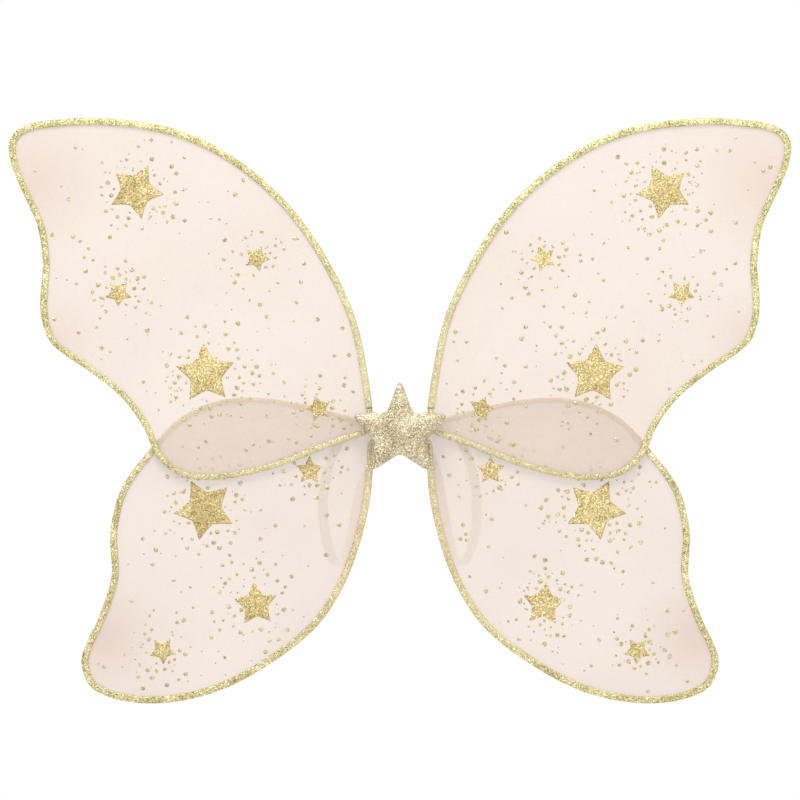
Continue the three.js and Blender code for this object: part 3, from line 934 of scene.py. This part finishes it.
def make_back_pad():
    """The wearer's pad: two felt faces sewn round the rim over foam, flat on the side of the back."""
    low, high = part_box("back_pad_cover")
    middle = Vector((0, 0, (low.z + high.z) / 2))
    half_width, half_height, depth = high.x, (high.z - low.z) / 2, high.y - low.y
    outline = rounded_outline(half_width, half_height, 0.004)
    profile = [(0.3, -0.93), (0.75, -0.86), (0.92, -0.72), (0.965, -0.5), (0.965, -0.26), (0.93, -0.06),
               (0.85, -0.01), (0.3, -0.01)]
    profile = [(scale, y * depth) for scale, y in profile]
    pad = pillow_block("felt_back_pad", outline, profile, felt("cream_felt", FELT_CREAM))
    seam = -0.45 * depth
    inflate(pad, voxel=0.0007, cap=0.0006, seam=seam, hold=0.0004)
    draw_in_seam(pad, seam, width=0.0005, share=0.045, lowest=-depth, highest=-0.00004)
    pad.data.transform(Matrix.Translation(middle))
    add_piece(pad, "centre", "felt", "back_pad_cover", "back_pad_foam")
    make_pad_stitches(outline, middle)


def make_pad_stitches(outline, middle):
    """A row of running stitches round the flat face of the back pad."""
    inset, height = 0.86, -0.000056
    ring = smooth_line([p * inset for p in outline] + [outline[0] * inset], 1200)
    places = [(Vector((spot.x, height, spot.y)) + middle, Vector((along.x, 0, along.y)))
              for spot, along in stitch_places(ring, 0.0024, closed=True)]
    points, faces = [], []
    add_stitches(points, faces, places, Vector((0, 1, 0)), length=0.0015, radius=0.00022, dip=0.000176)
    thread = woven("pad_thread", PAD_THREAD, 0.3)
    add_piece(mesh_object("back_pad_stitches", points, faces, thread), "centre", "felt")


# ---------------------------------------------------------------- centre wrap, sleeves and arm loops

def make_wrap():
    """Cloth tape wound round the wire bundle in overlapping turns."""
    low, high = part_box("centre_wrap")
    middle, half = (low + high) / 2, (high - low) / 2
    around, step, pitch, lap, tuck, crease = 72, 0.0004, 0.0034, 0.00035, 0.0006, 0.00012
    rows = int((high.z - low.z) / step)
    points = []
    for row in range(rows + 1):
        z = low.z + (high.z - low.z) * row / rows
        shrink = tuck * max(0.0, 1 - min(row, rows - row) / 3)
        for k in range(around):
            turn = k / around
            angle = turn * 2 * math.pi
            fold = crease * noise.noise(Vector((turn * 9, z * 500, 2)))
            inset = lap * ((z / pitch - turn) % 1) + shrink + fold
            x = (half.x - inset) * math.copysign(abs(math.cos(angle)) ** 0.5, math.cos(angle))
            y = (half.y - inset) * math.copysign(abs(math.sin(angle)) ** 0.5, math.sin(angle))
            points.append((middle.x + x, middle.y + y, z))
    tape = woven("cotton_tape", TAPE_CREAM, 0.45)
    wrap = mesh_object("wound_tape", points, tube_faces(rows + 1, around), tape)
    add_piece(wrap, "centre", "cloth_tape", "centre_wrap")


def sleeve_tube(points, faces, route, stations, widths, depths):
    """Adds a closed, creased tube of fabric along route. It narrows from the first width and depth to the
    second, in mm, and both of its ends are round."""
    around, rounding, crease_share = 16, 3, 0.10
    line = smooth_line(route, stations)
    start = len(points)
    for i, spot in enumerate(line):
        share = i / (stations - 1)
        side = direction(line, i).cross(Vector((0, 1, 0))).normalized()
        end = min(i, stations - 1 - i) / rounding
        round_off = 1 if end >= 1 else math.sqrt(1 - (1 - end) ** 2) * 0.75 + 0.25
        width = widths[0] + (widths[1] - widths[0]) * share
        depth = depths[0] + (depths[1] - depths[0]) * share
        for k in range(around):
            angle = k * 2 * math.pi / around
            wrinkle = math.sin(i * 1.9 + 0.7 * math.sin(angle * 2)) * math.sin(math.pi * share)
            size = round_off * (1 + crease_share * wrinkle) * MM
            through = Vector((0, math.sin(angle) * depth * size, 0))
            points.append(spot + side * math.cos(angle) * width * size + through)
    faces += [tuple(start + v for v in f) for f in tube_faces(stations, around)]


def sleeve_routes(wing):
    """For each of a wing's two wire tails, the way from the binding's end to the bend line."""
    ends = sorted((wing.edge[:4], wing.edge[:-5:-1]), key=lambda run: -run[0].y)
    routes = []
    for run, bend, tail in zip(ends, ROOT_BENDS[wing.level], wing.tails):
        outer = [p + wing.outward_at(p) * WIRE_OFFSET for p in (run[3], run[0])]
        outer.append(Vector((wing.side * bend[0], bend[1])) * MM)
        route = [Vector((p.x, wing.y, p.y)) for p in outer]
        routes.append(route + [Vector((wing.side * HINGE_X, HINGE_Y, tail))])
    return routes


def make_sleeves(wing, material):
    """Gathered fabric sleeves over the wire tails, from the binding's two ends to the centre wrap.
    An upper wing's sleeves run in one length through the bend. A lower wing's are in two lengths, whose round
    ends meet at the bend."""
    wrap_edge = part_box("centre_wrap")[1].x - MM
    past_bend, bend_reach = Vector((wing.side * MM, 0, 0)), wing.side * 2.2 * MM
    outer, inner, whole = ([], []), ([], []), ([], [])
    for *way, bend in sleeve_routes(wing):
        into = Vector((wing.side * wrap_edge, bend.y, bend.z))
        if wing.level == "upper":
            sleeve_tube(*whole, [*way, bend, into], *WHOLE_SLEEVE)
        else:
            sleeve_tube(*outer, [*way, bend - past_bend], *OUTER_SLEEVE)
            sleeve_tube(*inner, [bend + past_bend, bend, into], *INNER_SLEEVE)
    name, middle = wing.name + "_wire_sleeves", wing.side * HINGE_X
    if wing.level == "upper":
        sleeves = mesh_object(name, *whole, material)
        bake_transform(sleeves)
    else:
        add_piece(mesh_object(name, *outer, material), wing.body, "edge_glitter")
        add_piece(mesh_object(name + "_inner", *inner, material), "centre", "edge_glitter")


def loop_section():
    """Section of ribbed elastic: (across, through) points in mm, all the way round."""
    face = []
    for k in range(LOOP_RIBS * 4 + 1):
        across = (k / (LOOP_RIBS * 4) - 0.5) * LOOP_WIDTH
        edge = min(1.0, (LOOP_WIDTH / 2 - abs(across)) / 0.5)
        rib = RIB_HEIGHT * abs(math.sin(math.pi * k / 4))
        face.append((across, (LOOP_HALF_THICKNESS - RIB_HEIGHT + rib) * (0.35 + 0.65 * edge)))
    return face + [(across, -through) for across, through in face[::-1]]


def loop_route(sign, outwards):
    """A loop's way from its seam in the pad's side, round the arm, and back to its other seam."""
    sewn = [Vector((-sign * s * MM, 0, 0)) for s in LOOP_SEWN_IN]
    first, last = (Vector((0, 0, LOOP_ROUTE[end][1] * MM)) for end in (0, -1))
    free = [outwards * out * MM + Vector((0, 0, z * MM)) for out, z in LOOP_ROUTE]
    return [sewn[0] + first, sewn[1] + first, *free, sewn[1] + last, sewn[0] + last]


def make_arm_loop(side, material):
    """Flat elastic that leaves the pad upright and turns flat to the arm."""
    sign, stations = SIDES[side], 170
    joint = next(j for j in frame["joints"] if j["child"] == side + "_arm_loop")
    hinge = Vector(joint["pos_m"])
    turn = math.radians(LOOP_ANGLE)
    outwards = Vector((sign * math.cos(turn), math.sin(turn), 0))
    across = Vector((sign * math.sin(turn), -math.cos(turn), 0))
    line = smooth_line(loop_route(sign, outwards), stations)
    section = loop_section()
    points, uvs = [], []
    length = 0.0
    for i, spot in enumerate(line):
        share = i / (stations - 1)
        along = direction(line, i)
        if i:
            length += (spot - line[i - 1]).length
        upright = along.cross(across).normalized()
        t = min(1.0, max(0.0, (min(share, 1 - share) - 0.03) / 0.18))
        twist = math.pi / 2 * t * t * (3 - 2 * t)
        width = upright * math.cos(twist) + across * math.sin(twist)
        through = along.cross(width)
        ripple = 0.00025 * math.sin(share * 37) * math.sin(math.pi * share)
        for a, b in section:
            points.append(hinge + spot + width * a * MM + through * (b * MM + ripple))
            uvs.append((a * MM, length))
    loop = mesh_object(side + "_elastic_loop", points, tube_faces(stations, len(section)), material, uvs)
    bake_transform(loop)
    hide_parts(side + "_arm_loop")


def make_centre(steel):
    """The star, the pad behind it, the wrapped wires between them and the arm loops."""
    make_star_pad()
    make_back_pad()
    make_wrap()
    elastic = woven("white_elastic", ELASTIC_WHITE, 1.1, place_map="weave")
    for side in SIDES:
        make_arm_loop(side, elastic)
    recoat("wire_bundle", steel)


make_camera()
make_studio()
wire_steel = drawn_steel("drawn_steel")
make_wings(wire_steel)
make_centre(wire_steel)
